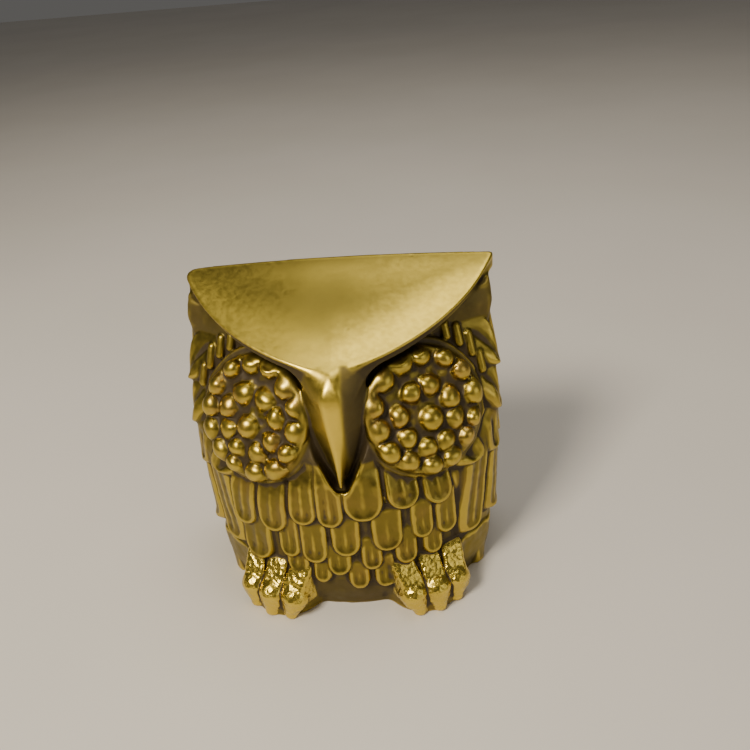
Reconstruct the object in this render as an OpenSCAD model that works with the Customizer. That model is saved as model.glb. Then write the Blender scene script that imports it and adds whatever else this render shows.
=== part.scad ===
// Owl figurine in cast brass: a flat-topped owl with beaded eyes, feathered
// breast and wings, and two clawed feet. The casting is one piece of metal. It
// is drawn as a cored body with each relief feature as its own solid.
// +Z is up, the owl looks along -Y, and the origin is on the table under the
// middle of the owl.

/* [Overall] */
// Width across the crown's back corners
head_w = 57.4; // [50:0.2:66]
// Height of the crown's back corners above the table
crown_h = 59; // [54:0.1:70]
// Greatest width of the wings
wing_w = 58.4; // [54:0.2:70]
// Distance from the origin forward to the chest
chest_front = 15.5; // [14:0.1:18]
// Distance from the origin back to the back feathers
back_out = 15.7; // [14.5:0.1:19]

/* [Body] */
// Radius of the round chest
chest_r = 33.3; // [31:0.1:40]
// Bulge of the back between its corners
back_bulge = 1.2; // [0.5:0.1:4]
// Radius of each flank's upright bow
flank_bow_r = 170; // [120:5:400]
// Height at which the flanks are widest
flank_bow_z = 31; // [20:1:40]
// Wall of the cored body
wall = 3; // [2:0.1:4]
// Thickness of the feather relief
relief_t = 1.7; // [1:0.1:2.2]

/* [Crown] */
// Distance from the origin back to the crown's corners
crown_corner_y = 14.6; // [12:0.1:16]
// Bulge of the crown's back edge
crown_back_bulge = 1.1; // [0.5:0.1:2.5]
// Rise of the crown for each millimetre towards the back
crown_slope = 0.33; // [0.15:0.01:0.4]
// Thickness of the crown at its sides
crown_t = 2.2; // [1.5:0.1:3]
// Outward bulge of each brow
brow_bulge = 2.6; // [1:0.1:4]
// Half width of the crown where the brow turns into the beak
brow_turn_x = 8.5; // [7:0.1:11]
// Distance forward to where the brow turns into the beak
brow_turn_y = 8; // [7:0.1:10]

/* [Beak] */
// Distance forward to the top of the beak
beak_top_y = 14.4; // [13:0.1:16]
// Half width of the beak's ridge at the brows
beak_top_half = 2.8; // [2:0.1:4]
// Distance forward to the beak's tip
beak_tip_y = 15.1; // [14:0.1:17]
// Height of the beak's tip
beak_tip_z = 29; // [26:0.5:32]
// Height at which the beak is widest
beak_wide_z = 42; // [38:0.5:45]
// Half width of the beak's root at its widest
beak_root_half = 5.4; // [4:0.1:6]
// Distance forward to the floor of the beak's channels
beak_root_y = 10.5; // [9.5:0.1:11]
// Width of the smooth channel on each side of the beak
channel_w = 1.2; // [0.6:0.1:2]

/* [Eyes] */
// Distance of each eye's centre from the middle
eye_x = 15.8; // [14:0.1:18]
// Depth of each eye's centre behind the chest's round
eye_inset = 3.9; // [2.5:0.1:5.5]
// Height of each eye's centre
eye_z = 40; // [38:0.5:43]
// Angle by which each eye turns outward from the chest's round
eye_toe_out = 0.7; // [-8:0.1:8]
// Angle by which each eye looks up
eye_tilt = 23; // [15:1:30]
// Radius of each eye
eye_r = 11.6; // [10:0.1:12]
// Thickness of the eye's disc
disc_t = 0.9; // [0.5:0.1:1.5]
// Diameter of the pupil bead
pupil_d = 3.9; // [3:0.1:5]
// Number of beads round the pupil
inner_count = 8; // [6:1:9]
// Diameter of the beads round the pupil
inner_d = 3.3; // [2.5:0.1:3.6]
// Radius of the ring of beads round the pupil
inner_ring_r = 5.6; // [5:0.1:6]
// Number of beads at the eye's edge
outer_count = 14; // [12:1:15]
// Diameter of the beads at the eye's edge
outer_d = 2.8; // [2:0.1:3.2]
// Share of each bead that stands above the disc
bead_proud = 0.6; // [0.5:0.05:0.8]
// Gap under the brow that the eye keeps clear
brow_gap = 0.8; // [0.3:0.1:1.5]

/* [Feathers] */
// Angle between neighbouring breast feathers about the chest's axis
breast_pitch = 13.2; // [11:0.1:15]
// Gap between neighbouring feathers
feather_gap = 0.3; // [0.15:0.05:0.6]
// Height of the first breast row's tips at the middle
row_1_tip = 21; // [19:0.5:23]
// Height of the second breast row's tips at the middle
row_2_tip = 13.5; // [12:0.5:15]
// Height of the third breast row's tips at the middle
row_3_tip = 8.4; // [7:0.2:10]
// Drop of a row's tips at 40 degrees to the side
row_drop = 3; // [0:0.5:4]
// Width of a wing scale
scale_w = 6.2; // [5:0.1:7]
// Length of a wing scale
scale_l = 9; // [8:0.5:9.5]
// Drop from one row of wing scales to the next
scale_step = 6.5; // [5:0.5:8]
// Height of the wings' lower edge
wing_base_z = 10.5; // [9:0.5:13]
// Height at which the long feathers start
primary_top_z = 28; // [24:0.5:30]
// Number of long feathers on each wing
primary_count = 4; // [3:1:6]
// Height of the tail
tail_h = 24; // [18:1:30]
// Width of each tail feather
tail_w = 5.6; // [4:0.2:6]
// Distance from the origin back to the tail's lower end
tail_reach = 18.6; // [17:0.1:20]

/* [Feet] */
// Angle of each foot's middle about the chest's axis
foot_turn = 26; // [23:0.5:29]
// Distance by which the foot's front stands out of the chest
foot_beyond = 4.3; // [3.2:0.1:5.7]
// Radius of the foot's front
foot_front_r = 8.2; // [7:0.1:9]
// Angle from the foot's middle to its sides at the chest
foot_half_turn = 14.5; // [12:0.5:16]
// Height at which the foot leaves the chest
foot_top_z = 9.5; // [8:0.5:11]
// Height of the foot's blunt front
foot_front_h = 2.6; // [2:0.1:4]
// Angle between the toes at the chest
toe_spread = 8.5; // [7:0.5:9.5]
// Angle between the toes at the claws
claw_spread = 6; // [5.6:0.2:6.5]
// Radius of a toe at the claw
toe_r = 1.75; // [1.4:0.05:1.8]
// Radius of a toe at the chest
toe_top_r = 1.4; // [1:0.1:1.8]
// Radius of a claw's root
claw_r = 1.6; // [1.2:0.1:1.7]
// Radius of a claw's point
claw_tip_r = 0.8; // [0.5:0.1:1]

/* [Hidden] */

$fn = 64;
BIG_FN = 360;
HULL_FN = 24;
FAR = 200;
EPS = 0.01;
LEFT = -1;
RIGHT = 1;

// Plan of the body: a round chest, a bowed back and two bowed flanks
chest_axis_y = chest_r - chest_front;
core_r = chest_r - relief_t;
foot_reach = chest_r + foot_beyond;
back_r = pow(wing_w / 2, 2) / (2 * back_bulge) + back_bulge / 2;
crown_angle = atan(crown_slope);
crown_drop = crown_t / cos(crown_angle);

// Each eye's place on the chest's round
eye_y = sqrt(pow(chest_r, 2) - pow(eye_x, 2)) - chest_axis_y - eye_inset;
eye_yaw = asin(eye_x / chest_r) + eye_toe_out;

// The eye's stack from its outermost bead down to the face
disc_top = -bead_proud * inner_d;
disc_floor = disc_top - disc_t;
outer_ring_r = eye_r - outer_d / 2;

// Borders between the breast, the wings and the back
wing_front_y = -6;
back_split_y = back_out - relief_t - back_bulge;
back_step = 12;
back_w = wing_w / 8;

// Feather rows on the breast: turn of the first, how many, tip height, length
row_1 = [-2.5 * breast_pitch, 6, row_1_tip, 14];
row_2 = [-3 * breast_pitch, 7, row_2_tip, 10.5];
row_3 = [-0.5 * breast_pitch, 2, row_3_tip, 8.2];
breast_w = 2 * core_r * sin(breast_pitch / 2) - feather_gap;

// The crown's outline: its corner, the turn of the brow and the beak's top
crown_corner = [head_w / 2, crown_corner_y];
brow_turn = [brow_turn_x, -brow_turn_y];
beak_corner = [beak_top_half, -beak_top_y];
brow_hollow = 0.9;

// The beak: half width of its lower ridge, of its root at the tip, and its bow
beak_edge_half = 0.4;
beak_tip_root_half = 1;
beak_mid_ridge = 0.6 * beak_top_half;
beak_bow = 0.3;
beak_neck_z = crown_h - crown_t - 5;

// Angle from the middle at which row_drop is reached
drop_turn = 40;

// How far the toes and claws stand out of the foot's front, and above its edge
foot_side_r = 1.2;
toe_out = 0.6;
toe_up = 0.8;
claw_out = 1.1;
claw_up = 0.6;
claw_tip_out = 1;

// The tail's lowest point, and how much higher and shorter its outer feathers are
tail_base_z = 0.6;
tail_side_rise = 1.4;
tail_side_short = 3;

// Points along the arc from p to q, bulging to the right of the way by sag, without q
function arc_points(p, q, sag, steps) =
    let (
        chord = q - p,
        half = norm(chord) / 2,
        along = chord / (2 * half),
        right = [along[1], -along[0]],
        r = (half * half + sag * sag) / (2 * abs(sag)),
        sweep = asin(half / r)
    )
    [for (i = [0 : steps - 1])
        let (turn = sweep * (2 * i / steps - 1))
        p + along * (half + r * sin(turn))
            + right * sign(sag) * r * (cos(turn) - cos(sweep))];

// The same outline points on the left, in reverse
function mirrored(points) = [for (i = [len(points) - 1 : -1 : 0]) [-points[i][0], points[i][1]]];

// Places a piece at an angle round the chest, with -Y pointing out of it
module round_chest(turn) {
    translate([0, chest_axis_y, 0])
        rotate([0, 0, turn])
            children();
}

// Leaves a right-hand piece on the right, or mirrors it to the left
module on_side(side) {
    mirror([side == LEFT ? 1 : 0, 0, 0])
        children();
}

// Places a piece on the right eye, with +Z pointing out of it and +Y up it
module on_eye() {
    translate([eye_x, -eye_y, eye_z])
        rotate([90 - eye_tilt, 0, eye_yaw])
            children();
}

// Everything above the table
module above_table() {
    translate([-FAR / 2, -FAR / 2, 0])
        cube([FAR, FAR, FAR]);
}

// Everything under the crown's sloping plane, lowered by drop
module below_crown(drop) {
    translate([0, crown_corner_y, crown_h - drop])
        rotate([crown_angle, 0, 0])
            translate([-FAR / 2, -FAR / 2, -FAR])
                cube([FAR, FAR, FAR]);
}

// Everything in front of the right face, which holds the eye
module before_face(inset) {
    on_eye()
        translate([-FAR / 2, -FAR / 2, disc_floor - inset])
            cube([FAR, FAR, FAR]);
}

// Everything inside the right flank's bow
module flank(inset) {
    translate([wing_w / 2 - flank_bow_r, FAR / 2, flank_bow_z])
        rotate([90, 0, 0])
            cylinder(r = flank_bow_r - inset, h = FAR, $fn = BIG_FN);
}

// The body's outer form, set in from its round sides and from its flat ones
module body_form(inset, flat_inset) {
    difference() {
        intersection() {
            translate([0, chest_axis_y, 0])
                cylinder(r = chest_r - inset, h = FAR, $fn = BIG_FN);
            translate([0, back_out - back_r, 0])
                cylinder(r = back_r - inset, h = FAR, $fn = BIG_FN);
            flank(inset);
            on_side(LEFT)
                flank(inset);
            below_crown(crown_drop + flat_inset);
        }
        before_face(flat_inset);
        on_side(LEFT)
            before_face(flat_inset);
    }
}

// The skin that the feather relief is cut from
module relief_skin() {
    difference() {
        body_form(0, 0);
        translate([0, 0, -EPS])
            body_form(relief_t, 0);
        translate([0, 0, crown_h / 2])
            body_form(relief_t, -EPS);
    }
}

// Recess that the beak stands in, cut forward from the floor of its channels
module beak_recess() {
    wide = beak_root_half + channel_w;
    translate([0, -beak_root_y, 0])
        rotate([90, 0, 0])
            linear_extrude(FAR)
                polygon([
                    [-channel_w, beak_tip_z - 1],
                    [channel_w, beak_tip_z - 1],
                    [wide, beak_wide_z - 2],
                    [wide, crown_h],
                    [-wide, crown_h],
                    [-wide, beak_wide_z - 2]
                ]);
}

// Feather outline with its tip at the origin, its length along +Y and a waist
// just narrower than its round tip
module feather_2d(width, length) {
    waist = width - feather_gap;
    translate([0, width / 2])
        circle(d = width);
    translate([-waist / 2, width / 2])
        square([waist, length - width / 2]);
}

module body_shell() {
    color("#8a7638")
        difference() {
            body_form(relief_t, 0);
            beak_recess();
            intersection() {
                translate([0, 0, -1])
                    body_form(relief_t + wall, wall + 1);
                translate([-FAR / 2, wall - beak_root_y, -1])
                    cube([FAR, FAR, FAR]);
            }
        }
}

// Outline of the crown: the beak's top, the brows and the back edge
module crown_2d() {
    half = concat(
        arc_points(beak_corner, brow_turn, -brow_hollow, 6),
        arc_points(brow_turn, crown_corner, brow_bulge, 12)
    );
    back_corner = [-crown_corner[0], crown_corner[1]];
    polygon(concat(
        half,
        arc_points(crown_corner, back_corner, crown_back_bulge, 16),
        [back_corner],
        mirrored(half)
    ));
}

module crown_plate() {
    color("#b9a458")
        difference() {
            intersection() {
                translate([0, 0, crown_h / 2])
                    linear_extrude(crown_h)
                        crown_2d();
                below_crown(0);
            }
            below_crown(crown_drop);
        }
}

module beak() {
    levels = [
        [beak_tip_z, beak_edge_half, beak_tip_root_half, beak_tip_y],
        [beak_wide_z, beak_mid_ridge, beak_root_half, beak_top_y + beak_bow],
        [beak_neck_z, beak_top_half, beak_root_half - 1, beak_top_y]
    ];
    color("#c3a73e")
        intersection() {
            hull()
                for (level = levels)
                    translate([0, 0, level[0]])
                        linear_extrude(EPS)
                            polygon([
                                [-level[1], -level[3]],
                                [level[1], -level[3]],
                                [level[2], -beak_root_y],
                                [-level[2], -beak_root_y]
                            ]);
            below_crown(crown_drop);
        }
}

module eye_disc(side) {
    color("#8f7b3c")
        on_side(side)
            intersection() {
                on_eye()
                    translate([0, 0, disc_floor])
                        cylinder(r = eye_r, h = disc_t);
                below_crown(crown_drop + brow_gap);
            }
}

// One bead on the eye's disc, cut off at the disc
module bead(diameter) {
    difference() {
        translate([0, 0, disc_top + (bead_proud - 0.5) * diameter])
            sphere(d = diameter);
        translate([-diameter, -diameter, disc_top - 2 * diameter])
            cube([2 * diameter, 2 * diameter, 2 * diameter]);
    }
}

// A ring of beads on the right eye, kept clear of the brow
module bead_ring(count, ring_r, diameter) {
    intersection() {
        on_eye()
            for (i = [0 : count - 1])
                rotate([0, 0, (i + 0.5) * 360 / count])
                    translate([ring_r, 0, 0])
                        bead(diameter);
        below_crown(crown_drop + brow_gap / 2);
    }
}

module pupil(side) {
    color("#c09a52")
        on_side(side)
            on_eye()
                bead(pupil_d);
}

module inner_beads(side) {
    color("#b08d48")
        on_side(side)
            bead_ring(inner_count, inner_ring_r, inner_d);
}

module outer_beads(side) {
    color("#a88a45")
        on_side(side)
            bead_ring(outer_count, outer_ring_r, outer_d);
}

module cheek_flutes(side) {
    flute_r = 0.9;
    flute_l = 3;
    places = [[8.6, 9.9], [10.8, 8.3], [12.6, 6.1]];
    color("#8f7b3c")
        on_side(side)
            on_eye()
                for (place = places)
                    translate([place[0], place[1], disc_floor])
                        rotate([-90, 0, 0])
                            intersection() {
                                union() {
                                    cylinder(r = flute_r, h = flute_l);
                                    sphere(r = flute_r);
                                    translate([0, 0, flute_l])
                                        sphere(r = flute_r);
                                }
                                translate([-FAR / 2, -FAR, -FAR / 2])
                                    cube([FAR, FAR, FAR]);
                            }
}

// One upright prism through the chest's skin for each feather of a row
module breast_prisms(row) {
    for (i = [0 : row[1] - 1]) {
        turn = row[0] + i * breast_pitch;
        tip_z = row[2] - row_drop * pow(turn / drop_turn, 2);
        round_chest(turn)
            translate([0, -core_r * cos(breast_pitch / 2) + 0.1, tip_z])
                rotate([90, 0, 0])
                    linear_extrude(2 * relief_t)
                        feather_2d(breast_w, row[3]);
    }
}

// The part of the chest's skin that the breast feathers are cut from
module breast_skin() {
    difference() {
        translate([0, chest_axis_y, 1])
            cylinder(r = chest_r, h = crown_h, $fn = BIG_FN);
        translate([0, chest_axis_y, 0])
            cylinder(r = core_r, h = 2 * crown_h, $fn = BIG_FN);
        before_face(0);
        on_side(LEFT)
            before_face(0);
        beak_recess();
        translate([-FAR / 2, wing_front_y - feather_gap, -1])
            cube([FAR, FAR, FAR]);
    }
}

module breast_row_1() {
    color("#9a8440")
        intersection() {
            breast_skin();
            breast_prisms(row_1);
        }
}

module breast_row_2() {
    color("#94803d")
        difference() {
            intersection() {
                breast_skin();
                breast_prisms(row_2);
            }
            breast_prisms(row_1);
            foot_block(LEFT);
            foot_block(RIGHT);
        }
}

module breast_row_3() {
    color("#8c7939")
        difference() {
            intersection() {
                breast_skin();
                breast_prisms(row_3);
            }
            breast_prisms(row_2);
            foot_block(LEFT);
            foot_block(RIGHT);
        }
}

module belly_patch() {
    patch_w = 6;
    patch_z = 2.2;
    color("#806d33")
        difference() {
            intersection() {
                breast_skin();
                translate([0, 0, patch_z])
                    rotate([90, 0, 0])
                        linear_extrude(FAR)
                            feather_2d(patch_w, row_3_tip - patch_z + breast_w / 2);
            }
            breast_prisms(row_3);
        }
}

// Outline of one row of wing scales, grown by grow, with +X to the back and +Y up
module scale_row_2d(row, grow) {
    for (column = [0 : 4])
        translate([
            wing_front_y + (column + 0.5 * (row % 2)) * scale_w,
            primary_top_z + (3 - row) * scale_step - scale_w / 2 - grow
        ])
            feather_2d(scale_w - feather_gap + 2 * grow, scale_l + (row == 0 ? FAR : 0));
}

// Outline of all the wing's scales, each row clear of the row above it
module wing_scales_2d() {
    for (row = [0 : 2])
        difference() {
            scale_row_2d(row, 0);
            if (row > 0)
                scale_row_2d(row - 1, feather_gap / 2 - EPS);
        }
}

// The part of the skin that lies under an outline on the right wing
module wing_relief() {
    intersection() {
        relief_skin();
        translate([wing_w / 4, wing_front_y, wing_base_z])
            cube([wing_w, back_split_y - wing_front_y, crown_h]);
        rotate([90, 0, 90])
            linear_extrude(FAR)
                children();
    }
}

module wing_scales(side) {
    color("#93803e")
        on_side(side)
            wing_relief()
                wing_scales_2d();
}

module wing_primaries(side) {
    primary_w = (back_split_y - wing_front_y) / primary_count;
    color("#897638")
        on_side(side)
            wing_relief()
                difference() {
                    for (i = [0 : primary_count - 1])
                        translate([wing_front_y + (i + 0.5) * primary_w, wing_base_z])
                            feather_2d(primary_w - feather_gap, primary_top_z + scale_step - wing_base_z);
                    scale_row_2d(1, 0);
                    scale_row_2d(2, 0);
                }
}

module base_band(side) {
    color("#7d6b33")
        on_side(side)
            difference() {
                relief_skin();
                translate([-FAR / 2, -FAR / 2, wing_base_z - feather_gap])
                    cube([FAR, FAR, FAR]);
                translate([-FAR, -FAR / 2, -1])
                    cube([FAR + feather_gap / 2, FAR, FAR]);
                translate([-FAR / 2, wing_front_y - FAR, -1])
                    cube([FAR, FAR, FAR]);
                foot_block(RIGHT);
                tail_prism();
            }
}

// Sloping block of one foot, without its toes
module foot_block(side) {
    on_side(side)
        difference() {
            round_chest(foot_turn)
                hull() {
                    translate([0, foot_front_r - foot_reach, 0])
                        cylinder(r = foot_front_r, h = foot_front_h, $fn = 2 * HULL_FN);
                    for (end = [-1, 1])
                        rotate([0, 0, end * foot_half_turn])
                            translate([0, -core_r, 0])
                                cylinder(r = foot_side_r, h = foot_top_z, $fn = HULL_FN);
                }
            translate([0, chest_axis_y, -1])
                cylinder(r = core_r, h = crown_h, $fn = BIG_FN);
        }
}

module foot(side) {
    color("#877438")
        foot_block(side);
}

// The three toes of the right foot, before the foot is cut from them
module toe_forms() {
    for (toe = [-1 : 1])
        hull() {
            round_chest(foot_turn + toe * toe_spread)
                translate([0, -core_r - toe_top_r, foot_top_z - toe_top_r])
                    sphere(r = toe_top_r, $fn = HULL_FN);
            round_chest(foot_turn + toe * claw_spread)
                translate([0, toe_r - foot_reach - toe_out, foot_front_h + toe_up])
                    sphere(r = toe_r, $fn = HULL_FN);
        }
}

module toes(side) {
    color("#d3bb58")
        difference() {
            on_side(side)
                difference() {
                    toe_forms();
                    translate([0, chest_axis_y, -1])
                        cylinder(r = core_r, h = crown_h, $fn = BIG_FN);
                }
            foot_block(side);
        }
}

module claws(side) {
    color("#b59c45")
        difference() {
            on_side(side)
                difference() {
                    for (toe = [-1 : 1])
                        round_chest(foot_turn + toe * claw_spread)
                            hull() {
                                translate([0, claw_r - foot_reach - claw_out, claw_r + claw_up])
                                    sphere(r = claw_r, $fn = HULL_FN);
                                translate([0, claw_tip_r - foot_reach - claw_tip_out, claw_tip_r])
                                    sphere(r = claw_tip_r, $fn = HULL_FN);
                            }
                    toe_forms();
                }
            foot_block(side);
        }
}

// Outline of the tail, with +Y up
module tail_2d() {
    for (i = [-1 : 1])
        translate([i * tail_w, tail_base_z + tail_side_rise * abs(i)])
            feather_2d(tail_w - feather_gap, tail_h - tail_side_short * abs(i));
}

module tail_prism() {
    rotate([90, 0, 180])
        linear_extrude(FAR)
            tail_2d();
}

module tail() {
    tail_slope = atan((tail_reach - back_out) / tail_h);
    color("#8d7a3b")
        difference() {
            tail_prism();
            translate([-FAR / 2, tail_reach, 0])
                rotate([tail_slope, 0, 0])
                    translate([0, 0, -FAR / 2])
                        cube([FAR, FAR, FAR]);
            translate([0, 0, -1])
                body_form(relief_t, -crown_h);
        }
}

// Rows of back feathers, each under the row above it and clear of the tail
module back_row(row) {
    color(row == 2 ? "#8b783a" : "#927e3e")
        intersection() {
            relief_skin();
            translate([-FAR / 2, back_split_y + feather_gap, wing_base_z])
                cube([FAR, FAR, FAR]);
            rotate([90, 0, 180])
                linear_extrude(FAR)
                    difference() {
                        back_row_2d(row);
                        if (row > 1)
                            back_row_2d(row - 1);
                        tail_2d();
                    }
        }
}

// Outline of one row of back feathers, with +Y up
module back_row_2d(row) {
    for (i = [-4.5 + 0.5 * (row % 2) : 4.5])
        translate([i * back_w, wing_base_z + (3 - row) * back_step])
            feather_2d(back_w - feather_gap, back_step + (row == 1 ? FAR : back_w / 2));
}

body_shell();
crown_plate();
beak();
eye_disc(LEFT);  // left_eye_disc
eye_disc(RIGHT);  // right_eye_disc
pupil(LEFT);  // left_pupil
pupil(RIGHT);  // right_pupil
inner_beads(LEFT);  // left_inner_beads
inner_beads(RIGHT);  // right_inner_beads
outer_beads(LEFT);  // left_outer_beads
outer_beads(RIGHT);  // right_outer_beads
cheek_flutes(LEFT);  // left_cheek_flutes
cheek_flutes(RIGHT);  // right_cheek_flutes
breast_row_1();
breast_row_2();
breast_row_3();
belly_patch();
wing_scales(LEFT);  // left_wing_scales
wing_scales(RIGHT);  // right_wing_scales
wing_primaries(LEFT);  // left_wing_primaries
wing_primaries(RIGHT);  // right_wing_primaries
base_band(LEFT);  // left_base_band
base_band(RIGHT);  // right_base_band
foot(LEFT);  // left_foot
foot(RIGHT);  // right_foot
toes(LEFT);  // left_toes
toes(RIGHT);  // right_toes
claws(LEFT);  // left_claws
claws(RIGHT);  // right_claws
back_row(1);  // back_row_1
back_row(2);  // back_row_2
back_row(3);  // back_row_3
tail();
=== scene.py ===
import math

import bpy
import numpy as np
from mathutils import Matrix, Vector


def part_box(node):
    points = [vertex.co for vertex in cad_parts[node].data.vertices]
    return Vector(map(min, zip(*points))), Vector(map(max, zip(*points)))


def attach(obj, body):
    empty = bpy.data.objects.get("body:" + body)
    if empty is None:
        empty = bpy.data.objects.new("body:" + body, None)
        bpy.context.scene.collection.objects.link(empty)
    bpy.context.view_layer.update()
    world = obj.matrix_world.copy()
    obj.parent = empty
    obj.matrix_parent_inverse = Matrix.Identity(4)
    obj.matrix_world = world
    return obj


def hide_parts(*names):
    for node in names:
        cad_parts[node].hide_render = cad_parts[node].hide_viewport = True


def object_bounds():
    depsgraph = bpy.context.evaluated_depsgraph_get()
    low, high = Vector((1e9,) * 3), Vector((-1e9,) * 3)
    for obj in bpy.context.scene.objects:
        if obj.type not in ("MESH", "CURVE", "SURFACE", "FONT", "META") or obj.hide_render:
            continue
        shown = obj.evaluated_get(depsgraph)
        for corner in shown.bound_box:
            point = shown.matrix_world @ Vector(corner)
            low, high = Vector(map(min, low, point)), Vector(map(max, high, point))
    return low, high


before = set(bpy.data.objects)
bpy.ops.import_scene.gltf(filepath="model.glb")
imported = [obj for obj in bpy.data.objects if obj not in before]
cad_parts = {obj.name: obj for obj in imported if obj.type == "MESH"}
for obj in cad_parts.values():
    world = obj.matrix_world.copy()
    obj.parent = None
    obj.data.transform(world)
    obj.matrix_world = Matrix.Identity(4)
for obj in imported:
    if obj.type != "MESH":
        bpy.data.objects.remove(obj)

# The owl is sculpted as one distance field in millimetres, in the CAD's frame.
# Its surface is meshed once, and each face goes to the CAD node it belongs to.
MM = 0.001
VOXEL = 0.25
SKIN = 0.6  # thickness of each piece's metal
INNER_CELL = 1.4  # size of the facets on the inner side of that metal
SEED = 7

CAD_LO, CAD_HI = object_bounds()


def box_mm(node):
    """Lowest and highest corner of a CAD node in millimetres."""
    lo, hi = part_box(node)
    return np.array(lo) / MM, np.array(hi) / MM


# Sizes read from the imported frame
BEAK_TIP_Z = box_mm("beak")[0][2]
TAIL_BACK_Y, TAIL_TOP_Z = box_mm("tail")[1][1:]

# The body: a round chest, a bowed back and bowed flanks, with the sizes of the CAD source
RELIEF = 1.7
WALL = 3.0
WING_W = 58.4
CHEST_FRONT = 15.5
CHEST_R = 33.3
CHEST_Y = CHEST_R - CHEST_FRONT
BACK_OUT = 15.7
BACK_BULGE = 1.2
BACK_R = (WING_W / 2) ** 2 / (2 * BACK_BULGE) + BACK_BULGE / 2
FLANK_R = 170.0
FLANK_Z = 31.0

# The crown: its back corner, slope, thickness, brow's turn and the bulges of its sides
CROWN_X = 28.7
CROWN_Y = 14.6
CROWN_H = 59.0
CROWN_SLOPE = 0.33
CROWN_COS = math.cos(math.atan(CROWN_SLOPE))
CROWN_T = 2.2
BROW_TURN = (8.5, -8.0)
BROW_BULGE = 2.6
CROWN_BACK_BULGE = 1.1
HEAD_FILLET = 3.4  # between the crown and the beak

# The beak: how far forward its top, tip and root are, and the height of its widest part
BEAK_TOP_Y = 14.4
BEAK_TIP_Y = 15.1
BEAK_ROOT_Y = 10.5
BEAK_WIDE_Z = 42.0

# The eyes: centre and angles, then heights along each eye's axis and radii about it
EYE = (15.8, -7.6, 40.0)
EYE_YAW = math.radians(29)
EYE_TILT = math.radians(23)
EYE_DROP = 0.4  # how far the disc and the beads sit below the centre
DISC_TOP = -1.98
DISC_FLOOR = -2.88
DISC_R = 11.2
EYE_RIM_R = 10.7
BROW_GAP = 1.9  # from the crown's underside down to the disc
PUPIL_R = 2.25
PUPIL_U, PUPIL_V = 0.3, -1.5
FLUTE_R = 0.85
FLUTE_SUNK = 0.75
CHEEK_FLUTES = ((8.0, 11.0, 2.4), (10.2, 9.2, 3.0), (12.2, 6.8, 3.4), (13.5, 3.4, 3.0))  # across, up, length

# Borders between the breast, the wings, the back and the base band
WING_FRONT = -7.6
BACK_Y = 12.8
WING_BASE = 10.5

# The feet: their turn about the chest's axis, and radii and distances out from that axis
FOOT_TURN = math.radians(26)
FOOT_REACH = 37.6
FOOT_R = 7.4
FOOT_CENTRE = 29.4
FOOT_BACK = 26
FOOT_TOP_Z = 9.2
TOE_PITCH_BACK = 5.0
TOE_PITCH_FRONT = 4.4
TOE_HALF_W = 2.2
TOE_PROUD = 1.2
TOE_BACK = 29
TOE_TOP_Z = 11
CLAW_PITCH = 3.9

TAIL_PITCH = 5.6

NODES = ["body_shell", "crown_plate", "beak", "breast_row_1", "breast_row_2", "breast_row_3",
         "belly_patch", "back_row_1", "back_row_2", "back_row_3", "tail"]
SIDED = ["eye_disc", "pupil", "inner_beads", "outer_beads", "cheek_flutes", "wing_scales",
         "wing_primaries", "base_band", "foot", "toes", "claws"]
NODES += [side + "_" + part for part in SIDED for side in ("left", "right")]
LABEL = {name: i for i, name in enumerate(NODES)}


# ---------------------------------------------------------------- field tools

def smax(a, b, k):
    """Largest of a and b with a rounded join k wide."""
    h = np.clip(0.5 + 0.5 * (a - b) / k, 0, 1)
    return b + (a - b) * h + k * h * (1 - h)


def smin(a, b, k):
    """Smallest of a and b with a rounded join k wide."""
    return -smax(-a, -b, k)


def step(lo, hi, x):
    """Smooth step from 0 at lo to 1 at hi."""
    t = np.clip((x - lo) / (hi - lo), 0, 1)
    return t * t * (3 - 2 * t)


def bump(x, width):
    """Bell of height 1 at x = 0."""
    return np.exp(-(x / width) ** 2)


LATTICE = 64


def noise(x, y, z, cell, seed):
    """Smooth value noise from -1 to 1 on a lattice of that cell size."""
    table = np.random.default_rng(seed).uniform(-1, 1, (LATTICE,) * 3).astype(np.float32)
    x, y, z = (np.asarray(a, np.float32) / cell + 100 for a in (x, y, z))
    ix, iy, iz = (np.floor(a).astype(np.int32) for a in (x, y, z))
    fx, fy, fz = (step(0, 1, a - i) for a, i in ((x, ix), (y, iy), (z, iz)))
    total = 0
    for dx in (0, 1):
        for dy in (0, 1):
            for dz in (0, 1):
                weight = (fx if dx else 1 - fx) * (fy if dy else 1 - fy) * (fz if dz else 1 - fz)
                near = (ix + dx) % LATTICE, (iy + dy) % LATTICE, (iz + dz) % LATTICE
                total = total + weight * table[near]
    return total


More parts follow.
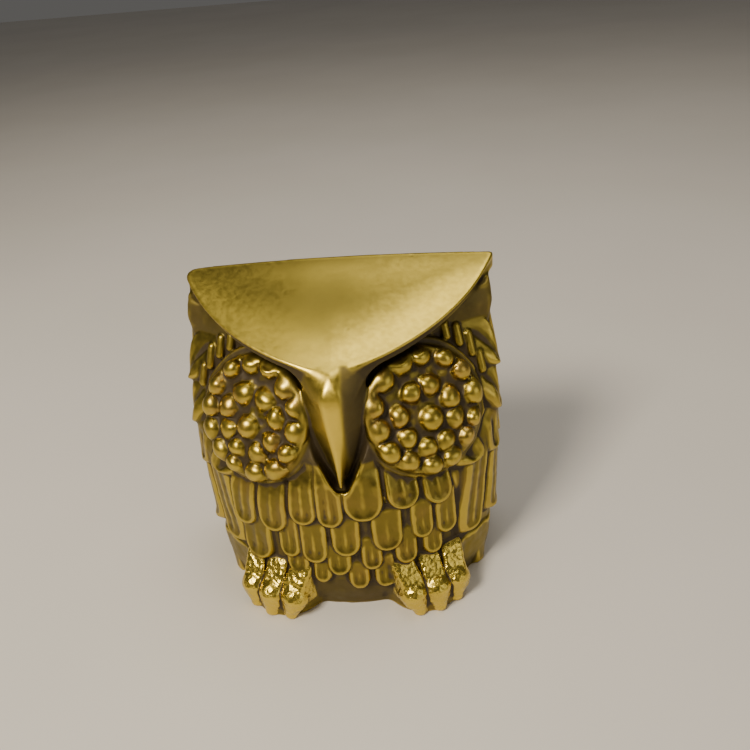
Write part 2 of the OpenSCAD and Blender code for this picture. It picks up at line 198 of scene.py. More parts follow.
class Field:
    """A distance field on a grid, with the CAD node of each point, and how much it is rubbed bright or given
    a painted sheen.
    """

    def __init__(self, voxel, margin=5):
        self.h = voxel
        self.lo = np.array(CAD_LO) / MM - margin * voxel
        count = np.ceil((np.array(CAD_HI) / MM - self.lo) / voxel).astype(int) + margin
        self.axes = [(self.lo[i] + voxel * np.arange(count[i])).astype(np.float32)
                     for i in range(3)]
        self.f = np.zeros(count, np.float32)
        self.label = np.zeros(count, np.int8)
        self.polish_and_sheen = np.zeros(count, np.float32)

    def window(self, lo=(-99, -99, -99), hi=(99, 99, 99)):
        """Slices and coordinates of the part of the grid from lo to hi."""
        cut = tuple(slice(*np.searchsorted(a, (lo[i], hi[i]))) for i, a in enumerate(self.axes))
        x, y, z = (a[c] for a, c in zip(self.axes, cut))
        return cut, x[:, None, None], y[None, :, None], z[None, None, :]

    def name(self, cut, mask, part):
        """Gives the masked points to a node, or to the left and right node of a pair."""
        label = self.label[cut]
        if part in LABEL:
            label[mask] = LABEL[part]
            return
        right = np.broadcast_to(self.axes[0][cut[0]][:, None, None] > 0, mask.shape)
        label[mask & right] = LABEL["right_" + part]
        label[mask & ~right] = LABEL["left_" + part]

    def add(self, cut, f, part, k):
        """Joins a form to the field with a fillet k wide."""
        f = np.broadcast_to(f, self.f[cut].shape)
        self.name(cut, f < self.f[cut], part)
        self.f[cut] = smin(self.f[cut], f, k)

    def cut_away(self, cut, f, k):
        """Takes a form out of the field with an edge k wide."""
        self.f[cut] = smax(self.f[cut], -f, k)

    def sample(self, grid, points):
        """Values of a grid at points, between its voxels."""
        q = (points - self.lo) / self.h
        i = np.clip(np.floor(q).astype(int), 0, np.array(grid.shape) - 2)
        t = np.clip(q - i, 0, 1)
        total = 0
        for d in np.ndindex(2, 2, 2):
            weight = np.prod(np.where(d, t, 1 - t), axis=1)
            total = total + weight * grid[i[:, 0] + d[0], i[:, 1] + d[1], i[:, 2] + d[2]]
        return total


# ---------------------------------------------------------------- the owl's forms

def eye_frame(x, y, z):
    """Coordinates on the eye: across, up, and out of the face. x is taken as positive."""
    qx, qy, qz = np.abs(x) - EYE[0], y - EYE[1], z - EYE[2]
    sy, cy, st, ct = math.sin(EYE_YAW), math.cos(EYE_YAW), math.sin(EYE_TILT), math.cos(EYE_TILT)
    u = qx * cy + qy * sy
    v = -qx * sy * st + qy * cy * st + qz * ct
    w = qx * sy * ct - qy * cy * ct + qz * st
    return u, v, w


def crown_height(x, y, z):
    """Height above the crown's sloping plane."""
    return (z - CROWN_H - CROWN_SLOPE * (y - CROWN_Y)) * CROWN_COS


def body_form(x, y, z, inset, flat_inset, round_by):
    """The body without feathers, moved in by inset, and by flat_inset under the crown and on the face."""
    chest = np.hypot(x, y - CHEST_Y) - (CHEST_R - inset)
    back = np.hypot(x, y - (BACK_OUT - BACK_R)) - (BACK_R - inset)
    flank = np.hypot(np.abs(x) - (WING_W / 2 - FLANK_R), z - FLANK_Z) - (FLANK_R - inset)
    top = crown_height(x, y, z) + CROWN_T + flat_inset
    face = eye_frame(x, y, z)[2] - DISC_FLOOR + flat_inset
    form = smax(smax(chest, flank, round_by), back, 2 * round_by)
    return smax(smax(form, face, round_by), top, 0.3)


def feather(u, v, width, length, slit=0.0):
    """Height of one feather above the skin's floor, its tip at the origin and its length up.
    Its rim is raised, and inside it is either a rib in a shallow hollow or a slit."""
    r = width / 2
    inside = r - np.hypot(u, np.minimum(v - r, 0))
    up = np.clip(v / length, 0, 1)
    dome = -0.35 * (u / r) ** 2 * step(0, r, v)
    rim = bump(inside - 1.0, 0.85) * (1 - 0.5 * up)
    fade = step(1.0, 3.0, v) * step(1.0, 0.5, up)
    rib = bump(u, 0.11 * width) * fade
    hollow = bump(u, 0.30 * width * (1 - 0.5 * up)) * fade
    cut = bump(u, 0.07 * width + 0.15) * step(1.0, 2.0, v) * step(0.85, 0.6, up)
    carved = (1 - slit) * (0.40 * rib - 0.55 * hollow) - slit * 0.42 * cut
    height = 0.4 + 1.05 * (1 - 0.78 * up) + 0.22 * rim + dome + carved
    return step(0, 1.05, inside) * height - 0.6 * step(0, 2, v - length)


# Breast feathers: angle about the chest's axis, tip height, width, length
BREAST = {
    "breast_row_1": [(-36.5, 16.5, 7.2, 16), (-24.6, 17.4, 7.4, 14), (-13.4, 20.4, 6.6, 12),
                     (-4.6, 20.2, 6.2, 13), (6.0, 21.3, 8.4, 11), (19.0, 22.6, 7.6, 11),
                     (31.0, 21.2, 7.0, 12)],
    "breast_row_2": [(-33.0, 8.8, 8.2, 12), (-19.6, 12.0, 5.6, 9), (-11.2, 11.4, 6.4, 10),
                     (-0.6, 13.4, 6.6, 9), (12.8, 13.7, 7.0, 9), (24.6, 14.6, 5.6, 8),
                     (33.4, 13.6, 5.8, 9)],
    "breast_row_3": [(-17.6, 8.4, 5.8, 8), (-3.6, 8.7, 5.8, 7), (7.2, 9.7, 5.2, 7),
                     (18.6, 9.6, 5.6, 8), (28.0, 9.9, 5.2, 7)],
    "belly_patch": [(-9.6, 6.6, 4.6, 6), (2.4, 5.2, 5.2, 6), (11.0, 5.0, 5.2, 7)],
}
SKIN_FLOOR = -1.55  # height of the skin between the feathers
BAND_PROUD = 0.62


def relief(x, y, z, body):
    """Height of the feather relief over the body's form, and the node of each point."""
    u, v, w = eye_frame(x, y, z)
    face = w - DISC_FLOOR
    turn = np.degrees(np.arctan2(x, CHEST_Y - y))
    height = np.full(x.shape, SKIN_FLOOR, np.float32)
    label = np.full(x.shape, LABEL["body_shell"], np.int8)
    right = x > 0

    def lay(h, part, where):
        """Lays a form h above the skin's floor over what is there, and names what it covers."""
        h = SKIN_FLOOR + h
        wins = (h > height + 0.01) & where
        if part in LABEL:
            label[wins] = LABEL[part]
        else:
            label[wins & right] = LABEL["right_" + part]
            label[wins & ~right] = LABEL["left_" + part]
        height[where] = smax(h[where], height[where], 0.12)

    chest = y < WING_FRONT + 1.2
    for part, feathers in BREAST.items():
        for angle, tip, width, length in feathers:
            near = chest & (np.abs(turn - angle) < 12)
            lay(feather(np.radians(turn - angle) * CHEST_R, z - tip, width, length), part, near)

    wing = (y >= WING_FRONT) & (y < BACK_Y) & (z > WING_BASE - 1)
    primary_w = 5.6
    for i in range(5):
        lean = 0.16 * (z - WING_BASE)
        across = y - lean - (WING_FRONT - 1.4 + (i + 0.5) * primary_w)
        long = feather(across, z - WING_BASE - 0.8 * (i % 2), primary_w, 24)
        lay(long, "wing_primaries", wing & (z < 34))
    scale_pitch, scale_rise, lowest_tip = 5.2, 7.6, 25.2
    for row in (2, 1, 0):
        for column in range(5):
            across = y - (-5.0 + (column + 0.5 * (row % 2)) * scale_pitch)
            tip = lowest_tip + (2 - row) * scale_rise + 0.5 * math.sin(3 * column + row)
            leaf = feather(across, z - tip, 5.5, 10.5, slit=1.0)
            lay(leaf + 0.12 * (2 - row) - 0.12, "wing_scales", wing)

    back = y >= BACK_Y
    back_w = WING_W / 8
    for row in (3, 2, 1):
        tip = WING_BASE + (3 - row) * 12
        for i in range(-5, 6):
            across = x - (i + 0.5 * (row % 2)) * back_w
            near = back & (np.abs(across) < back_w)
            shape = feather(across, z - tip, back_w * 1.02, 16, slit=0.55)
            lay(shape, f"back_row_{row}", near)

    # The low band under the wings is smooth, and so are the skirt and the face
    low = (z < WING_BASE + 0.3) & (y > -10) & (y < BACK_Y + 4)
    band = step(0.4, 1.4, WING_BASE - z) * (BAND_PROUD + 0.06 * np.sin(1.9 * y + 0.4 * z))
    lay(band, "base_band", low & ((np.abs(x) > 12) | (y > 8)))
    shoulder = -SKIN_FLOOR * step(46, 53, z)
    lay(shoulder, "body_shell", (z > 46) & (y > -4))
    height -= 0.7 * step(4.5, 0, z) * (y < -4)
    on_face = step(-0.6, 0.5, face - body + 0.6) * step(12.7, 11.9, np.hypot(u, v))
    inner = step(-0.6, 0.4, face - body + 0.6) * step(0.5, -2.5, u) * step(31.5, 34.5, z)
    smooth = np.maximum(on_face, inner)
    height = height * (1 - smooth)
    label[smooth > 0.6] = LABEL["body_shell"]
    return height, label


def crown_outline(x, y):
    """Distance to the crown's outline in plan, negative inside."""
    def arc(p, q, sag):
        """Centre and radius of the arc from p to q that bulges by sag."""
        p, q = np.array(p), np.array(q)
        along = (q - p) / np.linalg.norm(q - p)
        half = np.linalg.norm(q - p) / 2
        r = (half ** 2 + sag ** 2) / (2 * sag)
        centre = (p + q) / 2 - np.array([along[1], -along[0]]) * (r - sag)
        return centre, r

    centre, r = arc(BROW_TURN, (CROWN_X, CROWN_Y), BROW_BULGE)
    brow = np.hypot(np.abs(x) - centre[0], y - centre[1]) - r
    centre, r = arc((CROWN_X, CROWN_Y), (-CROWN_X, CROWN_Y), CROWN_BACK_BULGE)
    rear = np.hypot(x - centre[0], y - centre[1]) - r
    return smax(brow, rear, np.where(x < 0, 3.2, 0.9))


def beak_form(x, y, z):
    """The beak: a flat ridge that narrows downward, with a wide flank on each side."""
    forward = -y
    down = np.clip((BEAK_WIDE_Z + 4 - z) / (BEAK_WIDE_Z + 4 - BEAK_TIP_Z), 0, 1)
    ridge = 0.15 + 1.9 * step(0.8, -0.3, down)
    root = np.interp(z.ravel(), [BEAK_TIP_Z - 1, BEAK_TIP_Z + 4, BEAK_WIDE_Z - 2, BEAK_WIDE_Z + 2, 50],
                     [0.5, 3.5, 5.8, 5.4, 3.6]).reshape(z.shape)
    front = BEAK_TOP_Y + (BEAK_TIP_Y - BEAK_TOP_Y + 0.5) * down - 0.5 * bump(z - BEAK_TIP_Z, 1.6)
    deep = front - BEAK_ROOT_Y + 1.0
    side = ((np.abs(x) - ridge) * deep + (forward - front) * (root - ridge)) \
        / np.hypot(deep, root - ridge)
    form = smax(smax(side, forward - front, 0.6), BEAK_TIP_Z - z, 0.8)
    return smax(form, BEAK_ROOT_Y - 2 - forward, 0.5)


def add_head(field):
    """The crown's plate with its undercut brows, and the beak below it."""
    cut, x, y, z = field.window(lo=(-40, -30, 24))
    plan = crown_outline(x, y)
    depth = -crown_height(x, y, z)
    beak = beak_form(x, y, z)
    rim = np.minimum(smin(plan, np.minimum(beak, 9), HEAD_FILLET), 0)
    # The top rolls off a little at its worn front edges, and bends down into the beak
    roll = 0.40 * bump(rim, 6.0) * step(CROWN_Y, CROWN_Y - 9, y)
    dish = 0.06 * noise(x, y, 0 * z, 7, SEED)
    # Under the brows the edge is coved, down to the dark channel
    cove = 0.8 * step(0.2, 1.1, depth - roll) * step(BACK_Y + 1, BACK_Y - 3, y)
    plate = smax(plan + cove, depth - CROWN_T - 0.3, 0.3)
    bend = 0.4 + 3.8 * bump(x, 9) * step(-8, -13, y)
    head = smax(smin(plate, beak, HEAD_FILLET), roll + dish - depth, bend)
    # The front edges, the way to the beak and the beak's ridge are made bright: partly rubbed by hands,
    # partly a painted sheen, with the crown brighter towards its front and its right
    front = step(CROWN_Y + 2, CROWN_Y - 12, y)
    wear_and_sheen = np.maximum(bump(rim, 7.0) * front, 0.8 * step(6, -16, y - 0.2 * x))
    ridge = bump(np.abs(x), 2.6) * step(BEAK_TIP_Z, BEAK_WIDE_Z + 4, z) * (y < -BEAK_ROOT_Y)
    field.polish_and_sheen[cut] = np.maximum(wear_and_sheen * (depth < 1.2), ridge)
    field.name(cut, (head < field.f[cut]) & (plate <= beak), "crown_plate")
    field.name(cut, (head < field.f[cut]) & (beak < plate), "beak")
    field.f[cut] = smin(field.f[cut], head, 0.5)


def add_eyes(field):
    """Both eyes: disc, rim, two rings of beads, pupil and cheek flutes."""
    cut, x, y, z = field.window(lo=(-32, -24, 24), hi=(32, 12, 56))
    u, v, w = eye_frame(x, y, z)
    v = v + EYE_DROP
    r, turn = np.hypot(u, v), np.arctan2(v, u)
    clear = BROW_GAP - (-crown_height(x, y, z) - CROWN_T)
    swell = 0.8 * bump(np.hypot(u, v + 1.2), 6.5)
    pitted = 0.14 * noise(u, v, 0 * w + (x > 0), 1.1, SEED + 5)
    disc = smax(smax(r - DISC_R, w - DISC_TOP - swell + pitted, 1.1), clear, 1.0)
    field.add(cut, disc, "eye_disc", 0.8)

    # A raised rim, only on the upper side towards the beak
    from_middle = np.abs((turn - 2.25 + math.pi) % (2 * math.pi) - math.pi)
    rim = np.hypot(r - EYE_RIM_R, w - DISC_TOP) + 0.5 - 1.5 * step(1.3, 0.6, from_middle)
    field.add(cut, smax(rim, clear, 0.6), "eye_disc", 0.9)

    rng = np.random.default_rng(SEED)
    side = (x > 0).astype(int)

    def ring(count, radius, across, along, tall, part, phase, jitter, low=0.0):
        """A ring of beads, each a little different, with its own beads on each side."""
        pitch = 2 * math.pi / count
        r, turn = np.hypot(u, v + low), np.arctan2(v + low, u)
        place = turn / pitch - phase
        i = np.floor(place).astype(int) % count
        pick = (side, i)
        size = 1 + jitter * rng.uniform(-1, 1, (2, count))
        out = 0.32 * rng.uniform(-1, 1, (2, count))
        shift = 0.12 * rng.uniform(-1, 1, (2, count))
        lift = 0.18 * rng.uniform(-1, 1, (2, count))
        swing = (place - np.floor(place) - 0.5 - shift[pick]) * pitch * radius
        q = np.sqrt(((r - radius - out[pick]) / (across * size[pick])) ** 2
                    + (swing / (along * size[pick])) ** 2
                    + ((w - DISC_TOP - 0.6 * swell - lift[pick]) / tall) ** 2)
        bead = (q - 1) * min(across, along, tall)
        field.add(cut, smax(bead + 0.09 * lumps, clear, 0.3), part, 0.75)

    lumps = noise(x, y, z, 1.3, SEED + 6)
    ring(8, 5.3, 1.95, 2.1, 1.75, "inner_beads", 0.05, 0.12, low=1.0)
    ring(14, 9.4, 1.75, 2.05, 1.75, "outer_beads", 0.6, 0.14)
    from_axis = (u - PUPIL_U) ** 2 + (v - PUPIL_V) ** 2
    pupil = np.sqrt(from_axis + 1.1 * (w - DISC_TOP - 0.5) ** 2) - PUPIL_R
    field.add(cut, pupil + 0.05 * lumps, "pupil", 0.8)

    for pu, pv, tall in CHEEK_FLUTES:
        along = np.clip(v - pv, 0, tall)
        from_axis = (u - pu) ** 2 + (v - pv - along) ** 2
        flute = np.sqrt(from_axis + (w - DISC_FLOOR + FLUTE_SUNK) ** 2) - FLUTE_R
        field.add(cut, smax(flute, clear, 0.3), "cheek_flutes", 0.3)


def add_feet(field):
    """Both feet: a sloping block, three hammered toes and three smooth claws on each."""
    cut, x, y, z = field.window(lo=(-34, -26, -3), hi=(34, 6, 14))
    ax = np.abs(x)
    out = ax * math.sin(FOOT_TURN) + (CHEST_Y - y) * math.cos(FOOT_TURN)
    across = ax * math.cos(FOOT_TURN) - (CHEST_Y - y) * math.sin(FOOT_TURN)
    plan = np.hypot(across, np.maximum(out - FOOT_CENTRE, 0)) - FOOT_R
    slope = (z - 3.8) * 0.66 + (out - FOOT_REACH + 1.2) * 0.75
    block = smax(smax(plan, slope, 1.2), z - FOOT_TOP_Z, 1.0)
    block = smax(block, FOOT_BACK - out, 1)
    field.add(cut, block, "foot", 1.4)

    rough = noise(x, y, z, 0.85, SEED + 1) + 0.6 * noise(x, y, z, 0.45, SEED + 2)
    toes = claws = 99.0
    for spread in (-1, 0, 1):
        knuckle = np.array([spread * TOE_PITCH_FRONT, FOOT_REACH - 2.4 - 0.7 * abs(spread), 4.2])
        tip = np.array([spread * CLAW_PITCH, FOOT_REACH - 1.2 - 0.8 * abs(spread), 0.9])
        closer = 0.6 * step(31.6, FOOT_REACH - 2.4, out)
        centre = spread * (TOE_PITCH_BACK - closer)
        top = smax(slope - TOE_PROUD, out - FOOT_REACH + 0.5 + 0.7 * abs(spread), 2.4)
        ridge = smax(np.abs(across - centre) - TOE_HALF_W, top, 0.9)
        toes = np.minimum(toes, smax(ridge, 2.4 - z, 0.8))
        claws = np.minimum(claws, capsule((across, out, z), knuckle, tip, 2.8, 1.3))
    toes = smax(smax(toes, z - TOE_TOP_Z, 1.0), TOE_BACK - out, 1.0)
    field.add(cut, toes + 0.05 * rough, "toes", 0.3)
    field.add(cut, claws + 0.03 * rough, "claws", 0.5)


def capsule(point, a, b, ra, rb):
    """Distance to a rounded cone from a to b."""
    ab = b - a
    t = sum((p - a[i]) * ab[i] for i, p in enumerate(point)) / (ab @ ab)
    t = np.clip(t, 0, 1)
    d = np.sqrt(sum((p - a[i] - t * ab[i]) ** 2 for i, p in enumerate(point)))
    return d - (ra + (rb - ra) * t)


def add_tail(field):
    """Three tail feathers that spread out towards the table."""
    cut, x, y, z = field.window(lo=(-12, 8, -3), hi=(12, 24, 34))
    slope = (TAIL_BACK_Y - BACK_OUT) / TAIL_TOP_Z
    out = (y - TAIL_BACK_Y + slope * z) / math.hypot(1, slope)
    tail = 99.0
    for i in (-1, 0, 1):
        across = x - TAIL_PITCH * i
        h = feather(across, z - 0.6 - 1.4 * abs(i), TAIL_PITCH, 22 - 3 * abs(i))
        form = smax(out + 0.9 - 0.75 * h, np.abs(across) - 2.7, 0.5)
        form = smax(form, z - 24 + 3 * abs(i), 1.5)
        tail = np.minimum(tail, smax(form, 0.6 + 1.4 * abs(i) - z, 0.6))
    field.add(cut, tail, "tail", 0.5)


def cavity(x, y, z):
    """The hollow core, open at the table."""
    core = body_form(x, y, z, RELIEF + WALL, WALL + 1, 1.0)
    return smax(core, WALL - BEAK_ROOT_Y - y, 1.0)


RELIEF_REACH = 2.6  # how far from the body's form the relief changes the field


def sculpt():
    """The whole owl as a field: body with feathers, channel beside the beak, then all that stands on it."""
    field = Field(VOXEL)
    _, x, y, z = field.window()
    body = body_form(x, y, z, 0, 0, 0.9).astype(np.float32)
    near = np.nonzero(np.abs(body) < RELIEF_REACH)
    px, py, pz = (a[i] for a, i in zip(field.axes, near))
    height, label = relief(px, py, pz, body[near])
    cast = 0.07 * noise(px, py, pz, 2.6, SEED + 3) + 0.05 * noise(px, py, pz, 1.1, SEED + 4)
    body[near] -= height + cast
    field.f[...] = body
    field.label[near] = label

    cut, x, y, z = field.window(lo=(-9, -30, 24), hi=(9, 0, 62))
    wide = np.interp(z.ravel(), [28, 40, 62], [1.0, 6.9, 6.9]).reshape(z.shape)
    recess = smax(smax(np.abs(x) - wide, y + BEAK_ROOT_Y, 2.2), 28 - z, 1.0)
    field.cut_away(cut, recess, 0.5)
    add_eyes(field)
    add_head(field)
    add_feet(field)
    add_tail(field)
    _, x, y, z = field.window()
    field.f = smax(field.f, -z, 0.25)
    field.f = smax(field.f, -cavity(x, y, z), 0.2)
    return field


# ---------------------------------------------------------------- meshing

EDGES = [(a, b) for a in range(8) for b in range(a + 1, 8) if bin(a ^ b).count("1") == 1]
CORNERS = [(c & 1, c >> 1 & 1, c >> 2 & 1) for c in range(8)]


def surface(f, lo, h):
    """Points and quads of the field's zero surface, facing outward."""
    inside = f < 0
    n = [s - 1 for s in f.shape]
    count = sum(inside[dx:dx + n[0], dy:dy + n[1], dz:dz + n[2]].astype(np.int8)
                for dx, dy, dz in CORNERS)
    cells = np.nonzero((count > 0) & (count < 8))
    index = np.full(n, -1, np.int32)
    index[cells] = np.arange(len(cells[0]))
    values = [f[cells[0] + dx, cells[1] + dy, cells[2] + dz] for dx, dy, dz in CORNERS]
    total = np.zeros((len(cells[0]), 3))
    crossings = np.zeros(len(cells[0]))
    for a, b in EDGES:
        crossed = (values[a] < 0) != (values[b] < 0)
        t = np.where(crossed, values[a] / np.where(crossed, values[a] - values[b], 1), 0)
        pa, pb = np.array(CORNERS[a], float), np.array(CORNERS[b], float)
        total += crossed[:, None] * (pa + t[:, None] * (pb - pa))
        crossings += crossed
    points = lo + h * (np.stack(cells, 1) + total / crossings[:, None])
    quads = []
    for axis in range(3):
        b, c = (axis + 1) % 3, (axis + 2) % 3
        first = np.take(inside, range(f.shape[axis] - 1), axis)
        second = np.take(inside, range(1, f.shape[axis]), axis)
        at = np.stack(np.nonzero(first != second), 1)
        at = at[(at[:, b] > 0) & (at[:, c] > 0) & (at[:, b] < n[b]) & (at[:, c] < n[c])]
        ring = []
        for db, dc in ((1, 1), (0, 1), (0, 0), (1, 0)):
            cell = at.copy()
            cell[:, b] -= db
            cell[:, c] -= dc
            ring.append(index[tuple(cell.T)])
        ring = np.stack(ring, 1)
        outward = first[tuple(at.T)]
        quads.append(np.where(outward[:, None], ring, ring[:, ::-1]))
    return points, np.concatenate(quads)


def gradient_at(field, points):
    """Outward directions of the surface at points."""
    e = field.h * 0.75
    n = np.stack([field.sample(field.f, points + d) - field.sample(field.f, points - d)
                  for d in np.eye(3) * e], 1)
    return n / np.maximum(np.linalg.norm(n, axis=1), 1e-9)[:, None]


def settle(field, points, rounds=2):
    """Moves the points onto the field's zero surface."""
    for _ in range(rounds):
        n = gradient_at(field, points)
        away = field.sample(field.f, points)
        points = points - n * np.clip(away, -0.5 * field.h, 0.5 * field.h)[:, None]
    return points


def blurred(grid, radius):
    """Mean of a grid over a box of that radius, in voxels."""
    out = grid
    for axis in range(3):
        pad = [(0, 0)] * 3
        pad[axis] = (radius + 1, radius)
        total = np.cumsum(np.pad(out, pad, mode="edge"), axis=axis, dtype=np.float32)
        size = out.shape[axis]
        high = np.take(total, range(2 * radius + 1, 2 * radius + 1 + size), axis)
        low = np.take(total, range(size), axis)
        out = (high - low) / (2 * radius + 1)
    return out


def thick_patch(points, normals, quads):
    """Closes a patch of the surface into metal of SKIN thickness, with a coarse inner side."""
    used, local = np.unique(quads, return_inverse=True)
    local = local.reshape(quads.shape)
    outer = points[used]
    sunk = outer - normals[used] * SKIN
    cell = np.floor(sunk / INNER_CELL).astype(int)
    _, group = np.unique(cell, axis=0, return_inverse=True)
    group = group.ravel()
    inner = np.stack([np.bincount(group, sunk[:, i]) for i in range(3)], 1)
    inner = inner / np.bincount(group)[:, None]
    edges = np.stack([local, np.roll(local, -1, 1)], 2).reshape(-1, 2)
    big = len(used) + 1
    key = np.minimum(edges[:, 0], edges[:, 1]) * big + np.maximum(edges[:, 0], edges[:, 1])
    _, back, times = np.unique(key, return_inverse=True, return_counts=True)
    border = edges[times[back.ravel()] == 1]
    base = len(used)
    below = base + group[local[:, ::-1]]
    walls = np.stack([border[:, 1], border[:, 0], base + group[border[:, 0]],
                      base + group[border[:, 1]]], 1)
    loops, sizes = [], []
    for quad in (local, below, walls):
        same = quad == np.roll(quad, -1, 1)
        flat = (quad[:, 0] == quad[:, 2]) | (quad[:, 1] == quad[:, 3])
        # Quads that the coarse inner side has shrunk become triangles, or are left out
        distinct = 4 - same.sum(1)
        for corners in (3, 4):
            pick = (distinct == corners) & ~flat
            keep = ~same[pick]
            loops.append(quad[pick][keep])
            sizes.append(np.full(pick.sum(), corners))
    return np.concatenate([outer, inner]), used, np.concatenate(loops), np.concatenate(sizes)


def make_mesh(name, points, loops, sizes):
    """A mesh from points in millimetres and faces given by their corners and corner counts."""
    mesh = bpy.data.meshes.new(name)
    mesh.vertices.add(len(points))
    mesh.vertices.foreach_set("co", (points * MM).astype(np.float32).ravel())
    mesh.loops.add(len(loops))
    mesh.loops.foreach_set("vertex_index", loops.astype(np.int32))
    mesh.polygons.add(len(sizes))
    starts = np.concatenate([[0], np.cumsum(sizes)[:-1]])
    mesh.polygons.foreach_set("loop_start", starts.astype(np.int32))
    mesh.update(calc_edges=True)
    mesh.validate()
    return mesh


def set_normals(mesh, normals):
    """Shades the outer side, whose points come first, with the whole owl's normals."""
    vertex = np.zeros(len(mesh.loops), np.int32)
    mesh.loops.foreach_get("vertex_index", vertex)
    size = np.zeros(len(mesh.polygons), np.int32)
    mesh.polygons.foreach_get("loop_total", size)
    face = np.repeat(np.arange(len(size)), size)
    is_outer = vertex < len(normals)
    whole = np.bincount(face, is_outer) == size
    corner = np.zeros((len(vertex), 3), np.float32)
    pick = whole[face]
    corner[pick] = normals[vertex[pick]]
    mesh.normals_split_custom_set(corner)


# Radii over which the surface is judged to lie in a narrow crease or a wide hollow
CREASE_R = 0.55
HOLLOW_R = 1.6


def channel_shade_mask(field):
    """Painted shade of each point, how dark it is kept: most in the smooth channels under the brows and
    beside the beak, and less on the beak's flanks (the right one darker), the cheek flutes, the skirt and
    the feet."""
    _, x, y, z = field.window()
    # Painted shade under the crown's overhang, on the brows and the face beside the beak
    under = (crown_height(x, y, z) < -0.65) & (y < 11) & (z > 29)
    mask = (np.isin(field.label, (LABEL["body_shell"], LABEL["crown_plate"])) & under) * 1.0
    mask *= 1 - 0.35 * step(15, 22, np.abs(x))
    flutes = np.isin(field.label, (LABEL["left_cheek_flutes"], LABEL["right_cheek_flutes"]))
    # Painted shade on the beak's flanks, heavier on the right flank, away from the key light
    flank = (field.label == LABEL["beak"]) * step(0.8, 1.9, np.abs(x)) * np.where(x > 0, 0.85, 0.45)
    # Painted shade on the skirt, low on the front between the feet
    skirt_shade = (field.label == LABEL["body_shell"]) & (z < 7.5) & (y < 0)
    foot = np.isin(field.label, (LABEL["left_foot"], LABEL["right_foot"]))
    return (mask + flank + 0.4 * flutes + 0.75 * skirt_shade + 0.4 * foot).astype(np.float32)


def build_pieces(field):
    """One closed piece for each CAD node, with its attributes. Returns name: object."""
    points, quads = surface(field.f, field.lo, field.h)
    points = settle(field, points)
    normals = gradient_at(field, points)
    near = max(1, round(CREASE_R / field.h))
    wide = max(2, round(HOLLOW_R / field.h))
    bounded = np.clip(field.f, -2.5, 2.5)
    attributes = {
        "crease": np.clip(0.5 - field.sample(blurred(bounded, near), points) / 0.16, 0, 1),
        "hollow": np.clip(0.5 - field.sample(blurred(bounded, wide), points) / 0.9, 0, 1),
    }
    centre = points[quads].mean(1)
    at = np.round((centre - normals[quads].mean(1) * 0.1 - field.lo) / field.h).astype(int)
    owner = field.label[tuple(at.T)]
    # Rubbed polish and painted sheen, for the materials
    attributes["polish_and_sheen"] = field.sample(field.polish_and_sheen, points)
    # Painted shade in the channels, softened, for the materials
    attributes["channel"] = field.sample(blurred(channel_shade_mask(field), 1), points)
    pieces = {}
    for name in NODES:
        mine = quads[owner == LABEL[name]]
        if len(mine) == 0:
            print("no surface for", name)
            continue
        co, used, loops, sizes = thick_patch(points, normals, mine)
        mesh = make_mesh(name + "_visual", co, loops, sizes)
        for key, values in attributes.items():
            layer = mesh.attributes.new(key, "FLOAT", "POINT")
            padded = np.full(len(co), 0.5, np.float32)
            padded[:len(used)] = values[used]
            layer.data.foreach_set("value", padded)
        set_normals(mesh, normals[used])
        piece = bpy.data.objects.new(name + "_visual", mesh)
        bpy.context.scene.collection.objects.link(piece)
        pieces[name] = piece
    return pieces


# ---------------------------------------------------------------- materials

class Nodes:
    """Short calls for building one material's nodes."""

    def __init__(self, name):
        self.material = bpy.data.materials.new(name)
        self.material.use_nodes = True
        self.tree = self.material.node_tree
        self.shader = self.tree.nodes["Principled BSDF"]
        self.place = self.make("ShaderNodeTexCoord").outputs["Object"]

    def make(self, kind, inputs=None, **settings):
        node = self.tree.nodes.new(kind)
        for key, value in settings.items():
            setattr(node, key, value)
        for key, value in (inputs or {}).items():
            self.put(value, node.inputs[key])
        return node

    def put(self, value, socket):
        if isinstance(value, bpy.types.NodeSocket):
            self.tree.links.new(value, socket)
        else:
            socket.default_value = value

    def attribute(self, name):
        return self.make("ShaderNodeAttribute", attribute_name=name).outputs["Fac"]

    def noise(self, scale, detail=4.0, rough=0.6, stretch=(1, 1, 1)):
        mapped = self.make("ShaderNodeMapping", {"Vector": self.place, "Scale": stretch})
        return self.make("ShaderNodeTexNoise", {"Vector": mapped.outputs["Vector"], "Scale": scale,
                                                "Detail": detail, "Roughness": rough}).outputs["Fac"]

    def cells(self, scale):
        return self.make("ShaderNodeTexVoronoi", {"Vector": self.place, "Scale": scale}
                         ).outputs["Distance"]

    def math(self, operation, a, b=0.0):
        node = self.make("ShaderNodeMath", operation=operation)
        self.put(a, node.inputs[0])
        self.put(b, node.inputs[1])
        return node.outputs[0]

    def remap(self, value, lo, hi, to_lo=0.0, to_hi=1.0):
        return self.make("ShaderNodeMapRange", {"Value": value, "From Min": lo, "From Max": hi,
                                                "To Min": to_lo, "To Max": to_hi},
                         interpolation_type="SMOOTHSTEP").outputs["Result"]

    def mix(self, factor, a, b):
        node = self.make("ShaderNodeMix", data_type="RGBA")
        self.put(factor, node.inputs["Factor"])
        self.put(a, node.inputs["A"])
        self.put(b, node.inputs["B"])
        return node.outputs["Result"]

    def relief(self, height, distance, strength, normal=None):
        inputs = {"Height": height, "Distance": distance, "Strength": strength}
        if normal is not None:
            inputs["Normal"] = normal
        return self.make("ShaderNodeBump", inputs).outputs["Normal"]


# Colours of the brass: rubbed (also used for painted highlights and sheen), plain, in its hollows (oxide and
# painted shade), and the reddish tint of its beads
BRIGHT = (0.76, 0.57, 0.085, 1)
OLIVE = (0.165, 0.128, 0.026, 1)
BROWN = (0.050, 0.033, 0.012, 1)
COPPER = (0.44, 0.25, 0.09, 1)


